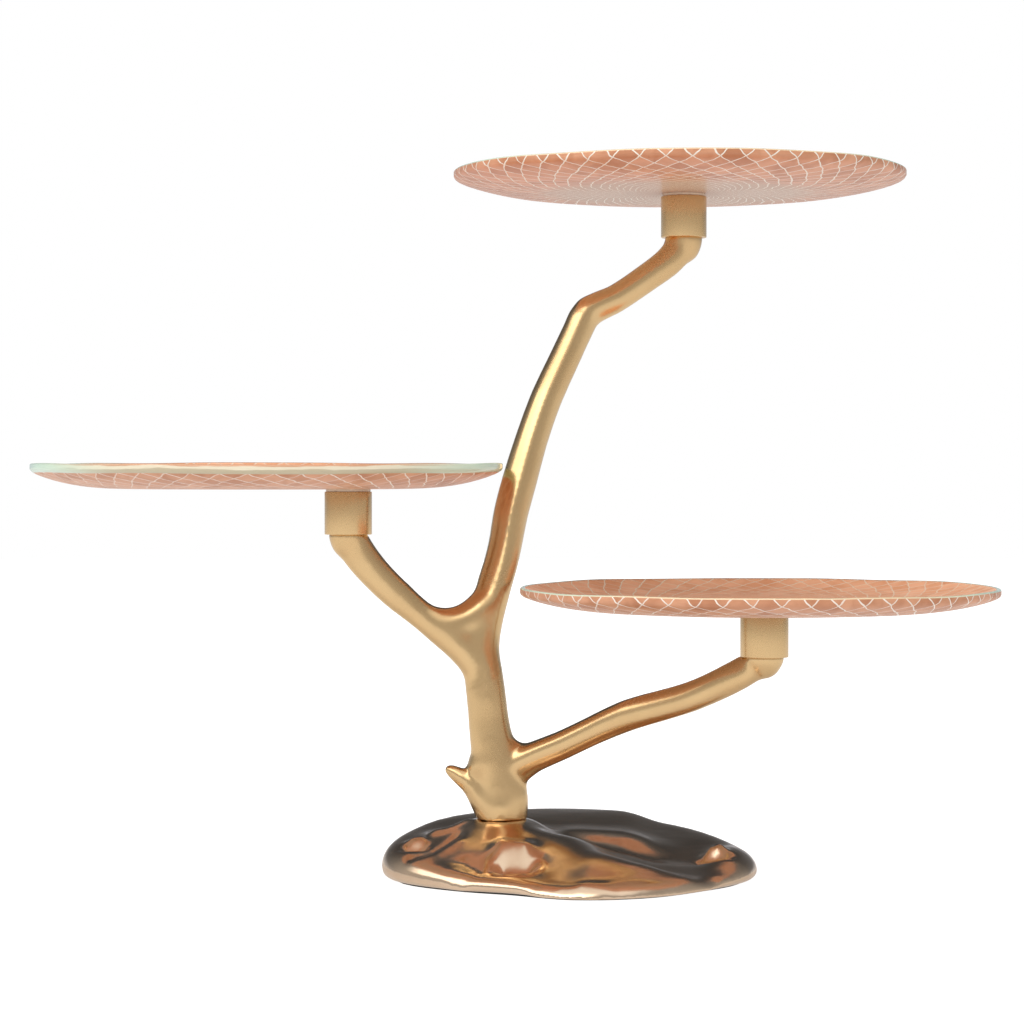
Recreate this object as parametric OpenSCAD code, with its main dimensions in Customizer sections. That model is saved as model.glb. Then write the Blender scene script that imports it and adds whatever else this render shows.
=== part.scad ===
// Three-tier branch cake stand: a cast tree-branch stem bolted to an irregular cast base, with three
// round glass plates. Each plate has a bonded metal plug that drops into a cup on the end of a branch,
// so it lifts off and turns.
//
// Millimetres. The origin is on the table under the middle of the base: +X is the stand's right,
// +Y its back and +Z up.

/* [Tiers] */
// Height of the left plate's underside above the table
left_tier = 210; // [200:0.5:220]
// Height of the top plate's underside above the table
top_tier = 374.5; // [360:0.5:390]
// Height of the right plate's underside above the table
right_tier = 146; // [138:0.5:154]
// How far the left cup stands left of the middle of the base
left_reach = 119; // [112:1:126]
// How far the top cup stands right of the middle of the base
top_reach = 65; // [57:0.5:74]
// How far the right cup stands right of the middle of the base
right_reach = 102; // [96:0.5:108]
// How far the left cup stands behind the middle of the base
left_back = 10; // [2:1:16]
// How far the top cup stands behind the middle of the base
top_back = 76; // [66:1:86]
// How far the right cup stands in front of the middle of the base
right_front = 22; // [14:1:30]

/* [Plates] */
// Diameter of each glass plate
plate_d = 252; // [240:1:260]
// Thickness of the glass
glass_t = 5; // [4:0.5:6]
// How far the rim's underside turns up above the flat middle
plate_rise = 8; // [6:0.5:10]
// The same for the left plate, which slumped deeper in its mould
left_rise = 9.5; // [8:0.5:10]
// How much the rims of the two lower plates lean, down at the front and up at the back
rim_lean = 0.8; // [0:0.1:1.2]
// Diameter of the flat middle of each plate
plate_flat_d = 130; // [100:2:150]
// How far the hand-cut rim wanders in and out
rim_wander = 1; // [0:0.1:1.4]
// How far left of its plug's middle the top plate is bonded
top_off = 2; // [0:0.5:5]
// How far left of its plug's middle the right plate is bonded
right_off = 2; // [0:0.5:5]
// Gap between the left plate's rim and the upper limb that it is set off-centre to clear
limb_gap = 1.8; // [1.2:0.1:4]

/* [Cups] */
// Outside diameter of each cup
cup_d = 25.4; // [24:0.1:30]
// Height of each cup
cup_h = 23; // [21:0.5:27]
// Thickness of the floor inside each cup
cup_floor = 4; // [3:0.5:5]
// Diameter of the socket that takes the plate's plug
socket_d = 18; // [16:0.1:19]
// Diameter of the turned end of each branch inside its cup
spigot_d = 19; // [18:0.1:20]
// Length of the turned end of each branch
spigot_l = 5; // [4:0.5:6]
// Thickness of the silicone ring between cup and plate
ring_t = 1.5; // [1:0.1:2.5]

/* [Stem and branches] */
// Diameter of the stem's foot
foot_d = 26; // [25:0.5:28]
// How far the stem stands left of the middle of the base
foot_left = 36.5; // [32:0.5:41]
// How far the stem stands behind the middle of the base
foot_back = 15; // [10:1:20]
// Height of the fork where the left branch leaves the stem
fork_z = 124; // [118:1:130]
// Height at which the right branch leaves the stem
right_fork_z = 56; // [52:1:60]
// Diameter of the shoulder under each cup
shoulder_d = 20.6; // [20.2:0.1:22]
// How much the cast section swells into soft ridges, as a share of its radius
ridge = 0.05; // [0:0.01:0.1]

/* [Base] */
// Width of the base
base_w = 202; // [190:1:230]
// Depth of the base
base_depth = 175; // [165:1:195]
// Height of the seat that the stem stands on
seat_z = 32; // [31:0.5:36]
// Height of the base's top midway between its ridges and hollows
crown_z = 19; // [17:0.5:21]
// Height of the rolled lip along the front
lip_z = 10; // [9:0.5:12]
// Height of the widest line of the rolled edge at the back
edge_z = 8; // [6:0.5:10]
// Thickness of the felt under the base
felt_t = 1; // [1:0.5:2]
// How far the felt is set in from the base's outline
felt_inset = 9; // [7:0.5:14]

/* [Fasteners] */
// Thread diameter of the bolt that holds the stem
bolt_d = 10; // [8:1:12]
// Length of the bolt under its head
bolt_l = 40; // [34:1:44]
// Thread diameter of the screw in each cup
screw_d = 5; // [4:0.5:6]
// Length of the cup screw under its head
screw_l = 16; // [12:1:20]
// Diameter of the locating pin beside the bolt
pin_d = 4; // [3:0.5:4.5]
// Length of the locating pin
pin_l = 16; // [12:1:18]

/* [Hidden] */

brass = "#c6a169";
bronze = "#9a6f45";
steel = "#a9adb0";
copper_glass = [0.87, 0.62, 0.50, 0.9];
clear_silicone = [0.9, 0.9, 0.88, 0.6];
felt_green = "#2f3330";

running = 0.05;   // radial clearance of a plug in its socket
slip = 0.1;       // radial clearance of a spigot, washer or screw in its hole

foot = [-foot_left, foot_back, seat_z];
cup_drop = ring_t + cup_h;   // from a plate's underside down to the seam under its cup
left_tip = [-left_reach, left_back, left_tier - cup_drop];
top_tip = [top_reach, top_back, top_tier - cup_drop];
right_tip = [right_reach, -right_front, right_tier - cup_drop];

// ---- curves --------------------------------------------------------------------------------------

// A smooth curve through the points: [x, y, z, radius] rows, with n steps between two of them.
function between(a, b, c, d, t) =
    (2*b + (c - a)*t + (2*a - 5*b + 4*c - d)*t*t + (3*b - a - 3*c + d)*t*t*t) / 2;
function smooth_line(p, n) = let (last = len(p) - 1) [
    for (i = [0 : last - 1]) for (k = [0 : n - 1])
        between(p[max(i - 1, 0)], p[i], p[i + 1], p[min(i + 2, last)], k/n),
    p[last]
];

// Way points of a branch from a root to a tip. A row is [share of the way, x and y aside, radius].
function branch_points(root, tip, rows) = [
    for (w = rows) let (c = root + (tip - root)*w[0]) [c.x + w[1], c.y + w[2], c.z, w[3]]
];

function xyz(p) = [p.x, p.y, p.z];
function unit(v) = v / norm(v);
function smooth_step(t) = let (c = min(max(t, 0), 1)) c*c*(3 - 2*c);

// ---- stem and branches ---------------------------------------------------------------------------

limb_sides = 20;
limb_steps = 2;      // rings to each way point
ridges = 3;          // soft ridges round a limb's section
ridge_twist = 9;     // degrees that the ridges turn from ring to ring

crown = [-foot_left - 11.5, foot_back + 3.5, fork_z];
stem_rows = [
    [-0.08, 0, 0, foot_d/2], [0, 0, 0, foot_d/2 + 0.2], [0.13, 1.5, 0, 13.6], [0.3, 1, -0.8, 12.6],
    [0.46, -0.4, -1.4, 11.5], [0.59, -0.4, -1.8, 10.7], [0.72, 0, -2.2, 10.5], [0.86, 0, -1.6, 10.4]
];
upper_rows = [
    [0, 0, 0, 10.4], [0.07, -5, -1.8, 9.8], [0.15, -9.2, -3, 9.4], [0.2, -11.4, -3.7, 9.2],
    [0.257, -15, -4.5, 9.1], [0.32, -19.7, -5.6, 9.4], [0.4, -24, -6.5, 9.5], [0.5, -28.8, -7.4, 8.9],
    [0.6, -32.1, -7.6, 8.7], [0.7, -33, -7.2, 8.4], [0.77, -33.6, -6.8, 8.3],
    [0.815, -33, -6.4, 8.6], [0.845, -21.7, -4.6, 7.8], [0.9, -9.8, -2.2, 7.8],
    [0.94, -2.2, -0.6, 8.2], [0.97, 0, 0, 8.4]
];
left_root = crown + [-1, -2.5, -10];
left_rows = [
    [0, 0, 0, 9], [0.15, 0.6, 0, 9], [0.28, -2, -0.5, 8.4], [0.385, -3.4, -0.5, 8],
    [0.49, -4.9, -0.6, 8.1], [0.6, -6, -0.6, 8.4], [0.73, -5.8, -0.4, 8.7],
    [0.843, -4.3, 0, 9.1], [0.93, -2, 0, 9.2]
];
right_root = [-foot_left - 3, foot_back, right_fork_z];
right_rows = [
    [0, 0, 0, 8.5], [0.14, -1.5, 2, 8.3], [0.255, -0.6, 1, 7.8], [0.385, -2, 1.4, 7.8],
    [0.51, -2, 1, 8.4], [0.59, 4, 0.5, 8.2], [0.66, 9, 0, 8], [0.74, 9.6, -1, 8],
    [0.82, 8.4, -1.5, 8.2], [0.88, 7, -1, 8.1], [0.945, 4.5, 0, 7.6]
];
thorn_tip = [-foot_left - 28, foot_back - 1.5, seat_z + 26.6];

upper_limb = concat(branch_points(foot, crown, stem_rows), branch_points(crown, top_tip, upper_rows));
left_limb = branch_points(left_root, left_tip, left_rows);
right_limb = branch_points(right_root, right_tip, right_rows);

// Skins a tube with soft ridges over the rows of a smooth line.
module limb(rows) {
    sides = limb_sides;
    line = smooth_line(rows, limb_steps);
    last = len(line) - 1;
    points = [
        for (i = [0 : last]) let (
            along = unit(xyz(line[min(i + 1, last)]) - xyz(line[max(i - 1, 0)])),
            u = unit(cross([0, 1, 0], along)),
            v = cross(along, u)
        ) for (j = [0 : sides - 1]) let (
            a = 360*j/sides,
            r = line[i][3] * (1 + ridge*cos(ridges*a + ridge_twist*i))
        ) xyz(line[i]) + r*(cos(a)*u + sin(a)*v)
    ];
    walls = [
        for (i = [0 : last - 1]) for (j = [0 : sides - 1]) let (k = (j + 1) % sides) each [
            [i*sides + j, (i + 1)*sides + j, (i + 1)*sides + k],
            [i*sides + j, (i + 1)*sides + k, i*sides + k]
        ]
    ];
    polyhedron(points, concat(
        walls,
        [[for (j = [0 : sides - 1]) j]],
        [[for (j = [sides - 1 : -1 : 0]) last*sides + j]]
    ), convexity = 6);
}

// Fills the crease where two limbs part, with a web through the balls of rows [x, y, z, radius].
module web(rows) {
    for (i = [0 : len(rows) - 2]) hull() {
        translate(xyz(rows[i])) sphere(rows[i][3], $fn = 16);
        translate(xyz(rows[i + 1])) sphere(rows[i + 1][3], $fn = 16);
    }
}

// The round shoulder under a cup, with its elbow so far below, and the spigot that goes up into it.
module branch_end(tip, drop, elbow_r) {
    translate(tip) {
        hull() {
            translate([0, 0, -2.5]) cylinder(h = 2.5, d = shoulder_d, $fn = 40);
            translate([0, 0, -drop]) sphere(elbow_r, $fn = 24);
        }
        translate([0, 0, -1]) cylinder(h = spigot_l + 1, d = spigot_d, $fn = 48);
    }
}

screw_seat = spigot_l + 2*slip + cup_floor;   // from the seam up to the top of a cup's floor

module trunk() {
    color(brass) difference() {
        union() {
            limb(upper_limb);
            limb(left_limb);
            limb(right_limb);
            // the webs in the fork and in the right branch's two creases
            web([
                [crown.x - 36, crown.y - 5, fork_z + 22, 6.5], [crown.x - 27, crown.y - 4.2, fork_z + 15.5, 7.5],
                [crown.x - 18, crown.y - 3.6, fork_z + 13.5, 8.2], [crown.x - 9, crown.y - 2, fork_z + 14.5, 9],
                [crown.x + 1, crown.y + 1, fork_z + 22, 9.3]
            ]);
            web([
                [right_root.x + 1, foot_back, right_fork_z + 16, 8.2],
                [right_root.x + 8, foot_back - 1, right_fork_z + 11.6, 7.2],
                [right_root.x + 17, foot_back - 2, right_fork_z + 9.5, 6]
            ]);
            web([
                [right_root.x + 5.5, foot_back, right_fork_z - 5, 8],
                [right_root.x + 12, foot_back - 1, right_fork_z + 0.8, 6.3],
                [right_root.x + 20, foot_back - 2.5, right_fork_z + 6, 5.5]
            ]);
            // the thorn, a snag left on the stem beside its foot
            web([
                [-foot_left - 1.5, foot_back, seat_z + 6.5, 13.8],
                [thorn_tip.x + 14, foot_back - 0.5, thorn_tip.z - 9, 7], [each thorn_tip, 2.5]
            ]);
            web([
                [-foot_left - 6, foot_back, seat_z + 30, 12],
                [thorn_tip.x + 12, foot_back - 0.5, thorn_tip.z - 3.5, 4.5]
            ]);
            branch_end(left_tip, 4, 9.2);
            branch_end(top_tip, 5, 9.2);
            branch_end(right_tip, 2.8, 8.8);
        }
        // the foot is cut flat, and drilled for the bolt and the pin
        translate(foot - [0, 0, 20]) cylinder(h = 20, r = 40, $fn = 24);
        translate(foot - [0, 0, 1]) cylinder(h = bolt_reach + 4, d = bolt_d + 2*running, $fn = 48);
        translate(foot + [pin_out, 0, -1]) cylinder(h = pin_l/2 + 2, d = pin_d + 2*running, $fn = 32);
        // each branch end is faced off for its cup and drilled for the cup's screw
        for (tip = [left_tip, top_tip, right_tip]) translate(tip) {
            translate([0, 0, screw_seat - screw_l - 2])
                cylinder(h = screw_l + 2, d = screw_d + 2*running, $fn = 32);
            difference() {
                cylinder(h = cup_h, d = cup_d + 1, $fn = 48);
                translate([0, 0, -1]) cylinder(h = spigot_l + 1, d = spigot_d, $fn = 48);
            }
        }
    }
}

// ---- base ----------------------------------------------------------------------------------------

base_sides = 72;
neck_r = foot_d/2 + 0.6;         // the base's neck stands just proud of the stem's foot
flare = 6;                       // how far the base flares up to meet the stem
bolt_web = 13;                   // height of the ceiling that the bolt pulls against
bolt_head_h = 0.64*bolt_d;
washer_t = 2;
lock_t = 2.2;
bolt_head_top = bolt_web - washer_t - lock_t;
bolt_reach = bolt_head_top + bolt_l - seat_z;   // how far the bolt goes up into the stem
well_r = bolt_d/2 + 8;           // the well under the base that hides the bolt's head
pin_out = bolt_d/2 + pin_d/2 + 1.3;

// The cast outline: its reach from the middle at every 30 degrees, for a base of the usual size.
usual_w = 202;
usual_depth = 175;
reach = [101, 97, 94, 95, 97, 99, 101, 81, 70, 79, 83, 87];
function reach_at(a) = let (n = len(reach), s = a/360*n, i = floor(s))
    between(reach[(i + n - 1) % n], reach[i % n], reach[(i + 1) % n], reach[(i + 2) % n], s - i);
function outline(a, inset = 0) = let (r = reach_at(a))
    [(r*base_w/usual_w - inset)*cos(a), (r*base_depth/usual_depth - inset)*sin(a)];

// Folds of the casting, each with a crest from one point to another, the slope of its two sides and
// the radius of its crest.
folds = [
    [[-34, 2, 31.5], [-4, -12, 26], 0.47, 6], [[-4, -12, 26], [14, -40, 20], 0.47, 6],
    [[14, -40, 20], [36, -53, 16.5], 0.47, 5], [[36, -53, 16.5], [66, -52, 9], 0.45, 5],
    [[-46, 6, 31], [-50, -8, 25], 0.47, 6], [[-48, 14, 31], [-68, 17, 26.5], 0.5, 4],
    [[-68, 17, 26.5], [-76, -6, 16], 0.5, 4], [[-54, -8, 20], [-72, -24, 15.5], 0.6, 3]
];
// Soft swells and hollows, each along a line from [x, y, rise] to another, with its half width.
swells = [
    [[-62, 54, 0.5], [24, 66, 1.5], 18], [[2, 24, 2.5], [40, 17, 2.5], 8],
    [[12, 6, -3.5], [42, -4, -4], 8], [[84, -14, 4], [86, 4, 4], 9], [[64, -6, -2.5], [70, 16, -1], 9]
];

// The height of a line at the place nearest to a point, and its distance from the point in plan.
function beside(p, from, to) = let (
    way = [to.x - from.x, to.y - from.y],
    t = min(max((p - [from.x, from.y])*way/(way*way), 0), 1)
) [from.z + (to.z - from.z)*t, norm(p - [from.x, from.y] - t*way)];
function swell(p, m) = let (q = beside(p, m[0], m[1])) q[0]*exp(-pow(q[1]/m[2], 2));
function fold(p, m) = let (q = beside(p, m[0], m[1])) q[0] - m[2]*(norm([q[1], m[3]]) - m[3]);

// The lower and the higher of two heights, with the corner between them rounded over k.
function lower(a, b, k) = let (h = max(k - abs(a - b), 0)/k) min(a, b) - h*h*k/4;
function higher(a, b, k) = -lower(-a, -b, k);
function highest_fold(p, start, i) =
    i < 0 ? start : higher(highest_fold(p, start, i - 1), fold(p, folds[i]), 3);

// How much an angle faces the front, from 0 to 1.
function frontness(a) = smooth_step((0.35 - sin(a))/1.1);
function edge_height(a) = felt_t + (edge_z - felt_t)*(1 - 0.78*frontness(a));

// A point of the base's top: u runs from 0 at the neck to 1 at the widest line of the edge.
// The casting is thick at the back, steps down at the right, and runs down to a rolled lip in front.
step_down = 5;       // how much lower the top lies at the right
lip_w = 9;           // width of the lip, from the outline in
function base_xy(a, u) = (1 - u)*([foot.x, foot.y] + neck_r*[cos(a), sin(a)]) + u*outline(a);
function base_top(a, u) = let (
    p = base_xy(a, u),
    front = frontness(a),
    d = max(norm(p - [foot.x, foot.y]) - neck_r, 0),
    inside = (1 - u)*(norm(outline(a) - [foot.x, foot.y]) - neck_r),
    plain = crown_z + 0.17*p.y - step_down*smooth_step((p.x - 28)/24),
    swollen = lower(plain + [for (m = swells) swell(p, m)]*[for (m = swells) 1], seat_z - 0.5, 5),
    folded = higher(swollen, highest_fold(p, seat_z - 0.5*d, len(folds) - 1), 2),
    flared = folded + (seat_z - folded)*exp(-pow(d/flare, 1.5)),
    body = lower(flared, lip_z + 0.5*max(inside - lip_w, 0) + 20*(1 - front), 4),
    lip = front*smooth_step((inside - 3)/4)*(1 - smooth_step((inside - 7)/5)),
    roll_from = 0.72 + 0.14*max(front, smooth_step(1.6*cos(a) - 0.5)),
    roll = sqrt(max(1 - pow(max(u - roll_from, 0)/(1 - roll_from), 2.4), 0)),
    edge = edge_height(a)
) edge + (body + lip - edge)*roll;

ring_shares = [
    0, 0.03, 0.065, 0.11, 0.17, 0.23, 0.3, 0.37, 0.44, 0.51, 0.58, 0.65, 0.72, 0.78, 0.835, 0.88, 0.92,
    0.955, 0.985, 1
];

module base_body() {
    // the last three rings roll under the edge to the flat underside
    rows = concat(
        [for (u = ring_shares) [for (i = [0 : base_sides - 1]) let (a = 360*i/base_sides)
            [each base_xy(a, u), base_top(a, u)]]],
        [for (under = [[0.7, 0.5], [2.6, 0.15], [felt_inset - 2.5, 0]])
            [for (i = [0 : base_sides - 1]) let (a = 360*i/base_sides)
                [each outline(a, under[0]), felt_t + (edge_height(a) - felt_t)*under[1]]]]
    );
    last = len(rows) - 1;
    points = concat([foot], [for (row = rows) each row], [[0, 0, felt_t]]);
    bottom = len(points) - 1;
    polyhedron(points, [
        for (i = [0 : base_sides - 1]) let (k = (i + 1) % base_sides) each concat(
            [[0, 1 + k, 1 + i], [bottom, 1 + last*base_sides + i, 1 + last*base_sides + k]],
            [for (j = [0 : last - 1]) let (p = 1 + j*base_sides, q = p + base_sides) each [
                [p + i, p + k, q + k], [p + i, q + k, q + i]
            ]]
        )
    ], convexity = 6);
}

module base() {
    color(bronze) difference() {
        base_body();
        translate([foot.x, foot.y, -1]) cylinder(h = bolt_web + 1, r = well_r, $fn = 64);
        translate([foot.x, foot.y, 1]) cylinder(h = seat_z + 4, d = bolt_d + 1, $fn = 48);
        translate([foot.x + pin_out, foot.y, seat_z - pin_l/2 - 0.5])
            cylinder(h = pin_l, d = pin_d + 2*running, $fn = 32);
    }
}

module felt_pad() {
    color(felt_green) linear_extrude(felt_t) difference() {
        polygon([for (a = [0 : 6 : 354]) outline(a, felt_inset)]);
        translate([foot.x, foot.y]) circle(r = well_r + 1.5, $fn = 64);
    }
}

// ---- what holds the stem -------------------------------------------------------------------------

module trunk_bolt() {
    across_flats = 1.6*bolt_d;
    color(steel) translate([foot.x, foot.y, bolt_head_top]) {
        cylinder(h = bolt_l - 1, d = bolt_d - 2*running, $fn = 48);
        translate([0, 0, bolt_l - 1]) cylinder(h = 1, d1 = bolt_d - 2*running, d2 = bolt_d - 2, $fn = 48);
        translate([0, 0, -bolt_head_h]) intersection() {
            cylinder(h = bolt_head_h, d = across_flats/cos(30), $fn = 6);
            translate([0, 0, -1]) cylinder(h = bolt_head_h + 1, d1 = across_flats - 3,
                d2 = across_flats + 3*(bolt_head_h + 1), $fn = 64);
        }
    }
}

module washer(z, t, outer_d) {
    translate([foot.x, foot.y, z]) difference() {
        cylinder(h = t, d = outer_d, $fn = 64);
        translate([0, 0, -1]) cylinder(h = t + 2, d = bolt_d + 2*slip, $fn = 48);
    }
}

module lock_washer() {
    split = 1.6;   // width of the slanting cut through the ring
    color(steel) difference() {
        washer(bolt_head_top, lock_t, 1.75*bolt_d);
        translate([foot.x, foot.y - split/2, bolt_head_top - 1])
            rotate([18, 0, 0]) cube([bolt_d + 4, split, lock_t + 4]);
    }
}

module flat_washer() {
    color(steel) washer(bolt_web - washer_t, washer_t, 2*bolt_d);
}

module locating_pin() {
    chamfer = 0.6;
    color(steel) translate([foot.x + pin_out, foot.y, seat_z - pin_l/2]) rotate_extrude($fn = 48)
        polygon([
            [0, 0], [pin_d/2 - chamfer, 0], [pin_d/2, chamfer], [pin_d/2, pin_l - chamfer],
            [pin_d/2 - chamfer, pin_l], [0, pin_l]
        ]);
}

// ---- cups, and what joins a plate to its cup -------------------------------------------------------

module cup(tip) {
    r = cup_d/2;
    bevel = 0.5;
    under = spigot_l + 2*slip;   // the cup sits on the branch's shoulder, just clear of the spigot's end
    color(brass) translate(tip) rotate_extrude($fn = 96) polygon([
        [spigot_d/2 + slip, 0], [r - bevel, 0], [r, bevel], [r, cup_h - bevel], [r - bevel, cup_h],
        [socket_d/2 + bevel, cup_h], [socket_d/2, cup_h - bevel], [socket_d/2, screw_seat],
        [screw_d/2 + 2*slip, screw_seat], [screw_d/2 + 2*slip, under], [spigot_d/2 + slip, under]
    ]);
}

module cup_screw(tip) {
    head_r = 0.85*screw_d;
    head_h = 0.55*screw_d;
    color(steel) translate(tip + [0, 0, screw_seat]) difference() {
        union() {
            translate([0, 0, -screw_l]) cylinder(h = screw_l, d = screw_d - 2*running, $fn = 48);
            rotate_extrude($fn = 64) polygon([
                [0, 0], [head_r, 0], [head_r, 0.25*head_h], [0.9*head_r, 0.6*head_h],
                [0.62*head_r, head_h], [0, head_h]
            ]);
        }
        translate([0, 0, 0.35*head_h]) cylinder(h = head_h, d = 0.6*screw_d/cos(30), $fn = 6);
    }
}

module silicone_ring(tip) {
    color(clear_silicone) translate(tip + [0, 0, cup_h]) difference() {
        cylinder(h = ring_t, d = cup_d - 1.4, $fn = 96);
        translate([0, 0, -1]) cylinder(h = ring_t + 2, d = socket_d + 2*slip, $fn = 96);
    }
}

module plug(tip) {
    r = socket_d/2 - running;
    chamfer = 1;
    bottom = screw_seat + 0.55*screw_d + 0.6;   // clear of the screw's head
    color(brass) translate(tip) rotate_extrude($fn = 96) polygon([
        [0, bottom], [r - chamfer, bottom], [r, bottom + chamfer], [r, cup_drop], [0, cup_drop]
    ]);
}

// ---- glass plates ----------------------------------------------------------------------------------

plate_sides = 60;
plate_r = plate_d/2;
flat_r = plate_flat_d/2;

// How far the rim wanders at an angle, from -1 to 1. Each plate has its own phase.
function wander(a, phase) =
    0.5*cos(3*a + phase) + 0.3*cos(7*a + 2*phase + 50) + 0.2*cos(11*a - phase);

// The share of the way, then the height above the underside, of each ring over the plate's section.
plate_rings = [
    [0, 0], [0.35, 0], [0.6, 0], [0.82, 0], [0.97, 0.04], [1, 0.28], [1, 0.72], [0.975, 0.98],
    [0.83, 1], [0.6, 1], [0.34, 1], [0.02, 1]
];

module plate(tip, shift, phase, rise, lean) {
    rows = [for (ring = plate_rings) [for (i = [0 : plate_sides - 1]) let (
        a = 360*i/plate_sides,
        share = ring[0],
        r = flat_r + (plate_r - flat_r)*share + rim_wander*wander(a, phase)*share*share,
        lift = lean*sin(a) - 0.5*rim_wander*wander(a + 70, phase)
    ) [r*cos(a), r*sin(a), rise*pow(share, 3) + ring[1]*glass_t + lift*share*share]]];
    last = len(rows) - 1;
    points = concat([[0, 0, 0]], [for (row = rows) each row], [[0, 0, glass_t]]);
    top = len(points) - 1;
    color(copper_glass) translate(tip + [shift, 0, cup_drop]) polyhedron(points, [
        for (i = [0 : plate_sides - 1]) let (k = (i + 1) % plate_sides) each concat(
            [[0, 1 + i, 1 + k], [top, 1 + last*plate_sides + k, 1 + last*plate_sides + i]],
            [for (j = [0 : last - 1]) let (p = 1 + j*plate_sides, q = p + plate_sides) each [
                [p + i, q + i, q + k], [p + i, q + k, p + k]
            ]]
        )
    ], convexity = 4);
}

// The left plate is bonded off its plug's middle, just far enough left for its rim to clear the limb.
rim_reach = plate_r + rim_wander + limb_gap;
limb_beside = [for (q = smooth_line(upper_limb, 4*limb_steps))
    if (q.z > left_tier + left_rise - glass_t - 0.5 && q.z < left_tier + left_rise + 2*glass_t) q];
left_off = max([for (q = limb_beside)
    left_tip.x - q.x + sqrt(pow(rim_reach + q[3]*(1 + ridge), 2) - pow(q.y - left_tip.y, 2))]);

base();
felt_pad();
trunk();
trunk_bolt();
lock_washer();
flat_washer();
locating_pin();
cup(left_tip);  // left_cup
cup_screw(left_tip);  // left_cup_screw
silicone_ring(left_tip);  // left_ring
plug(left_tip);  // left_plug
plate(left_tip, -left_off, 20, left_rise, rim_lean);  // left_plate
cup(top_tip);  // top_cup
cup_screw(top_tip);  // top_cup_screw
silicone_ring(top_tip);  // top_ring
plug(top_tip);  // top_plug
plate(top_tip, -top_off, 140, plate_rise, 0);  // top_plate
cup(right_tip);  // right_cup
cup_screw(right_tip);  // right_cup_screw
silicone_ring(right_tip);  // right_ring
plug(right_tip);  // right_plug
plate(right_tip, -right_off, 260, plate_rise, rim_lean);  // right_plate
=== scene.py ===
"""A three-tier branch cake stand, dressed section by section in the order in which it is put together."""
import math

import bmesh
import bpy
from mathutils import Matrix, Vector
from mathutils.kdtree import KDTree


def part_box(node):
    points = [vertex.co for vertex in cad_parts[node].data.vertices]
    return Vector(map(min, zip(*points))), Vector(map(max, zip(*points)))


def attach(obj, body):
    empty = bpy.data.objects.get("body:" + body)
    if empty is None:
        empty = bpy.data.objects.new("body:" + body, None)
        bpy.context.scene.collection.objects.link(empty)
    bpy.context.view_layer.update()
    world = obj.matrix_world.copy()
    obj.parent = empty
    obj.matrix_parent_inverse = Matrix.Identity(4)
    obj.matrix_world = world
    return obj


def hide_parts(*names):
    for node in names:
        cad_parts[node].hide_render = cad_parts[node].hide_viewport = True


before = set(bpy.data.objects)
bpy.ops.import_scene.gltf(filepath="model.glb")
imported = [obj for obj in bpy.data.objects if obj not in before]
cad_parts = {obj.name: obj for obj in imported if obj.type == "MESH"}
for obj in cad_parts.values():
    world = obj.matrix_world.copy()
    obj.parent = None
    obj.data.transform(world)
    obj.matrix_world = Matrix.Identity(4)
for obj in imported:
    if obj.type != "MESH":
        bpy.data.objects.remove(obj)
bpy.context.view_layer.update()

# ---- Felt pad --------------------------------------------------------------------------------------
# A charcoal wool felt, die-cut a little smaller than the casting and glued under it, so that the
# stand doesn't scratch the table.


def add(tree, kind, sockets=None, **settings):
    """Adds a node to a tree. A socket that is given another node's output is linked to it."""
    made = tree.nodes.new(kind)
    for name, value in settings.items():
        setattr(made, name, value)
    for name, value in (sockets or {}).items():
        if isinstance(value, bpy.types.NodeSocket):
            tree.links.new(value, made.inputs[name])
        else:
            made.inputs[name].default_value = value
    return made


def maths(tree, operation, first, second=0.0, third=0.0, clamp=False):
    """The output of a Math node."""
    made = add(tree, "ShaderNodeMath", {0: first, 1: second, 2: third}, operation=operation, use_clamp=clamp)
    return made.outputs[0]


def blend_colours(tree, share, first, second):
    """The output of a Mix node, whose sockets 6, 7 and 2 are the ones for colours."""
    return add(tree, "ShaderNodeMix", {0: share, 6: first, 7: second}, data_type="RGBA").outputs[2]


def ranged(tree, value, low, high, to_low=0.0, to_high=1.0, smooth=True):
    """The output of a Map Range node that is held to its limits."""
    made = add(tree, "ShaderNodeMapRange", {"Value": value, "From Min": low, "From Max": high,
                                            "To Min": to_low, "To Max": to_high})
    made.interpolation_type = "SMOOTHSTEP" if smooth else "LINEAR"
    return made.outputs["Result"]


def start_material(name, **plain):
    """A material with one shader. Its plain values are named after their sockets, with _ for a space."""
    material = bpy.data.materials.new(name)
    material.use_nodes = True
    tree = material.node_tree
    shader = tree.nodes["Principled BSDF"]
    for socket, value in plain.items():
        shader.inputs[socket.replace("_", " ")].default_value = value
    return material, tree, shader


def emboss(tree, shader, height, distance, strength):
    """Gives a material's surface the small relief of a height that varies over it."""
    bump = add(tree, "ShaderNodeBump", {"Height": height, "Distance": distance, "Strength": strength})
    tree.links.new(bump.outputs["Normal"], shader.inputs["Normal"])


def dress(node, material):
    """Gives a CAD node that stays in view its own finish."""
    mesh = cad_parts[node].data
    mesh.materials.clear()
    mesh.materials.append(material)


felt, tree, shader = start_material("charcoal_felt", Roughness=0.95, Sheen_Weight=0.4)
place = add(tree, "ShaderNodeTexCoord").outputs["Object"]
fibres = add(tree, "ShaderNodeTexNoise", {"Vector": place, "Scale": 900, "Detail": 6, "Distortion": 2.5})
patches = add(tree, "ShaderNodeTexNoise", {"Vector": place, "Scale": 60, "Detail": 2})
tone = maths(tree, "MULTIPLY", fibres.outputs["Fac"], patches.outputs["Fac"])
tree.links.new(
    blend_colours(tree, ranged(tree, tone, 0.12, 0.4), (0.018, 0.020, 0.019, 1), (0.07, 0.075, 0.07, 1)),
    shader.inputs["Base Color"],
)
emboss(tree, shader, fibres.outputs["Fac"], 0.0005, 0.6)
dress("felt_pad", felt)

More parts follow.
